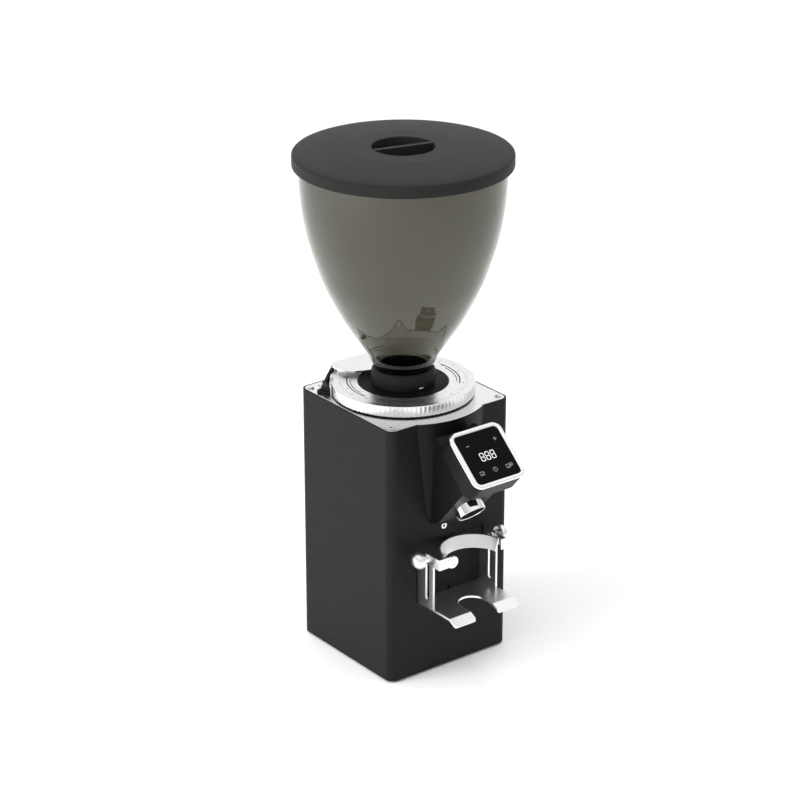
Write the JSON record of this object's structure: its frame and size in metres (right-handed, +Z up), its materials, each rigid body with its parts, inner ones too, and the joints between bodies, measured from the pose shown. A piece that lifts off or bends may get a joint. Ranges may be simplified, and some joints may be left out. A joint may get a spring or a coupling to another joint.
{
  "type": "burr coffee grinder",
  "caption": "On-demand espresso grinder: square case, round bean hopper with lid, large grind dial, tilted touch display, dosing chute and portafilter fork.",
  "frame": {"origin": "on the floor, under the middle of the overall width and depth", "axes": "+Z up along the grinding axis, -Y towards the display and fork, +X to the right seen from the front"},
  "size_m": [0.2452, 0.301, 0.6003],
  "materials": {
    "black_paint": "satin black powder coat",
    "black_plastic": "matt",
    "lid_plastic": "matt, fine grained",
    "smoked_glass": "smoked transparent, smooth",
    "polished_steel": "polished stainless steel",
    "chrome": "bright chrome",
    "machined_aluminium": "machined",
    "steel": "machined steel",
    "copper": "enamelled copper windings",
    "rubber": "matt black rubber",
    "display_glass": "black gloss touch glass",
    "board": "green circuit board"
  },
  "bodies": {
    "case": {"body_shell": "black_paint", "base_plate": "black_paint", "rear_cover": "black_paint", "recess_plate": "black_paint", "dial_stop_bracket": "black_paint", "foot_front_left": "rubber", "foot_front_right": "rubber", "foot_rear_left": "rubber", "foot_rear_right": "rubber", "dial_seal": "rubber", "power_inlet": "black_plastic", "switch_frame": "black_plastic", "front_fairing": "black_plastic", "head_housing": "black_plastic", "microswitch": "black_plastic", "grounds_duct": "black_plastic", "top_plate": "polished_steel", "fork_bracket": "polished_steel", "bridge_plate": "polished_steel", "plate_screw_front_left": "chrome", "plate_screw_front_right": "chrome", "plate_screw_rear_left": "chrome", "plate_screw_rear_right": "chrome", "display_bezel": "chrome", "dosing_chute": "chrome", "display_glass": "display_glass", "display_board": "board", "control_board": "board", "work_light_ring": "steel", "motor_stator": "steel", "bearing_upper": "steel", "bearing_lower": "steel", "bridge_post_left": "steel", "bridge_post_right": "steel", "grinding_chamber": "machined_aluminium", "motor_bell_upper": "machined_aluminium", "motor_bell_lower": "machined_aluminium", "run_capacitor": "machined_aluminium", "motor_winding": "copper"},
    "rotor": {"motor_shaft": "steel", "motor_rotor": "steel", "rotor_carrier": "machined_aluminium", "lower_burr": "steel", "cooling_fan": "black_plastic"},
    "dial": {"adjustment_dial": "polished_steel"},
    "carrier": {"burr_carrier": "black_paint", "upper_burr": "steel", "hopper_collar": "rubber"},
    "hopper_body": {"hopper": "smoked_glass"},
    "lid": {"hopper_lid": "lid_plastic"},
    "hook_left": {"hook_arm_left": "polished_steel", "hook_bolt_left": "steel"},
    "hook_right": {"hook_arm_right": "polished_steel", "hook_bolt_right": "steel"},
    "knob_left": {"hook_knob_left": "polished_steel"},
    "knob_right": {"hook_knob_right": "polished_steel"},
    "push_switch": {"push_band": "polished_steel", "push_rod": "steel"},
    "rocker": {"power_rocker": "black_plastic"},
    "stop_screw": {"dial_stop_screw": "chrome"}
  },
  "joints": [
    {"name": "rotor_spin", "type": "hinge", "parent": "case", "child": "rotor", "pos_m": [0, 0.02794, 0.15], "axis": [0, 0, 1], "continuous": true},
    {"name": "dial_turn", "type": "hinge", "parent": "case", "child": "dial", "pos_m": [0, 0.02794, 0.318], "axis": [0, 0, 1], "range_deg": [-30, 270]},
    {"name": "carrier_lift", "type": "slide", "parent": "case", "child": "carrier", "axis": [0, 0, 1], "range_m": [-0.00014, 0.00115]},
    {"name": "hopper_lift", "type": "slide", "parent": "carrier", "child": "hopper_body", "axis": [0, 0, 1], "range_m": [0, 0.12]},
    {"name": "lid_lift", "type": "slide", "parent": "hopper_body", "child": "lid", "axis": [0, 0, 1], "range_m": [0, 0.08]},
    {"name": "hook_left_height", "type": "slide", "parent": "case", "child": "hook_left", "axis": [0, 0, 1], "range_m": [-0.046, 0]},
    {"name": "hook_right_height", "type": "slide", "parent": "case", "child": "hook_right", "axis": [0, 0, 1], "range_m": [-0.046, 0]},
    {"name": "knob_left_turn", "type": "hinge", "parent": "hook_left", "child": "knob_left", "pos_m": [-0.06, -0.07646, 0.1555], "axis": [-1, 0, 0], "range_deg": [-180, 180]},
    {"name": "knob_right_turn", "type": "hinge", "parent": "hook_right", "child": "knob_right", "pos_m": [0.06, -0.07646, 0.1555], "axis": [1, 0, 0], "range_deg": [-180, 180]},
    {"name": "push_band_press", "type": "slide", "parent": "case", "child": "push_switch", "axis": [0, 1, 0], "range_m": [0, 0.003], "stiffness_N_per_m": 400},
    {"name": "power_rocker_tilt", "type": "hinge", "parent": "case", "child": "rocker", "pos_m": [0.03, 0.11134, 0.055], "axis": [1, 0, 0], "range_deg": [0, 10]},
    {"name": "stop_screw_turn", "type": "hinge", "parent": "case", "child": "stop_screw", "pos_m": [-0.0753, 0.08644, 0.315], "axis": [0, 0, 1], "range_deg": [-180, 180]}
  ],
  "couplings": [
    {"joint": "carrier_lift", "follows": "dial_turn", "m_per_rad": 0.0002387}
  ]
}
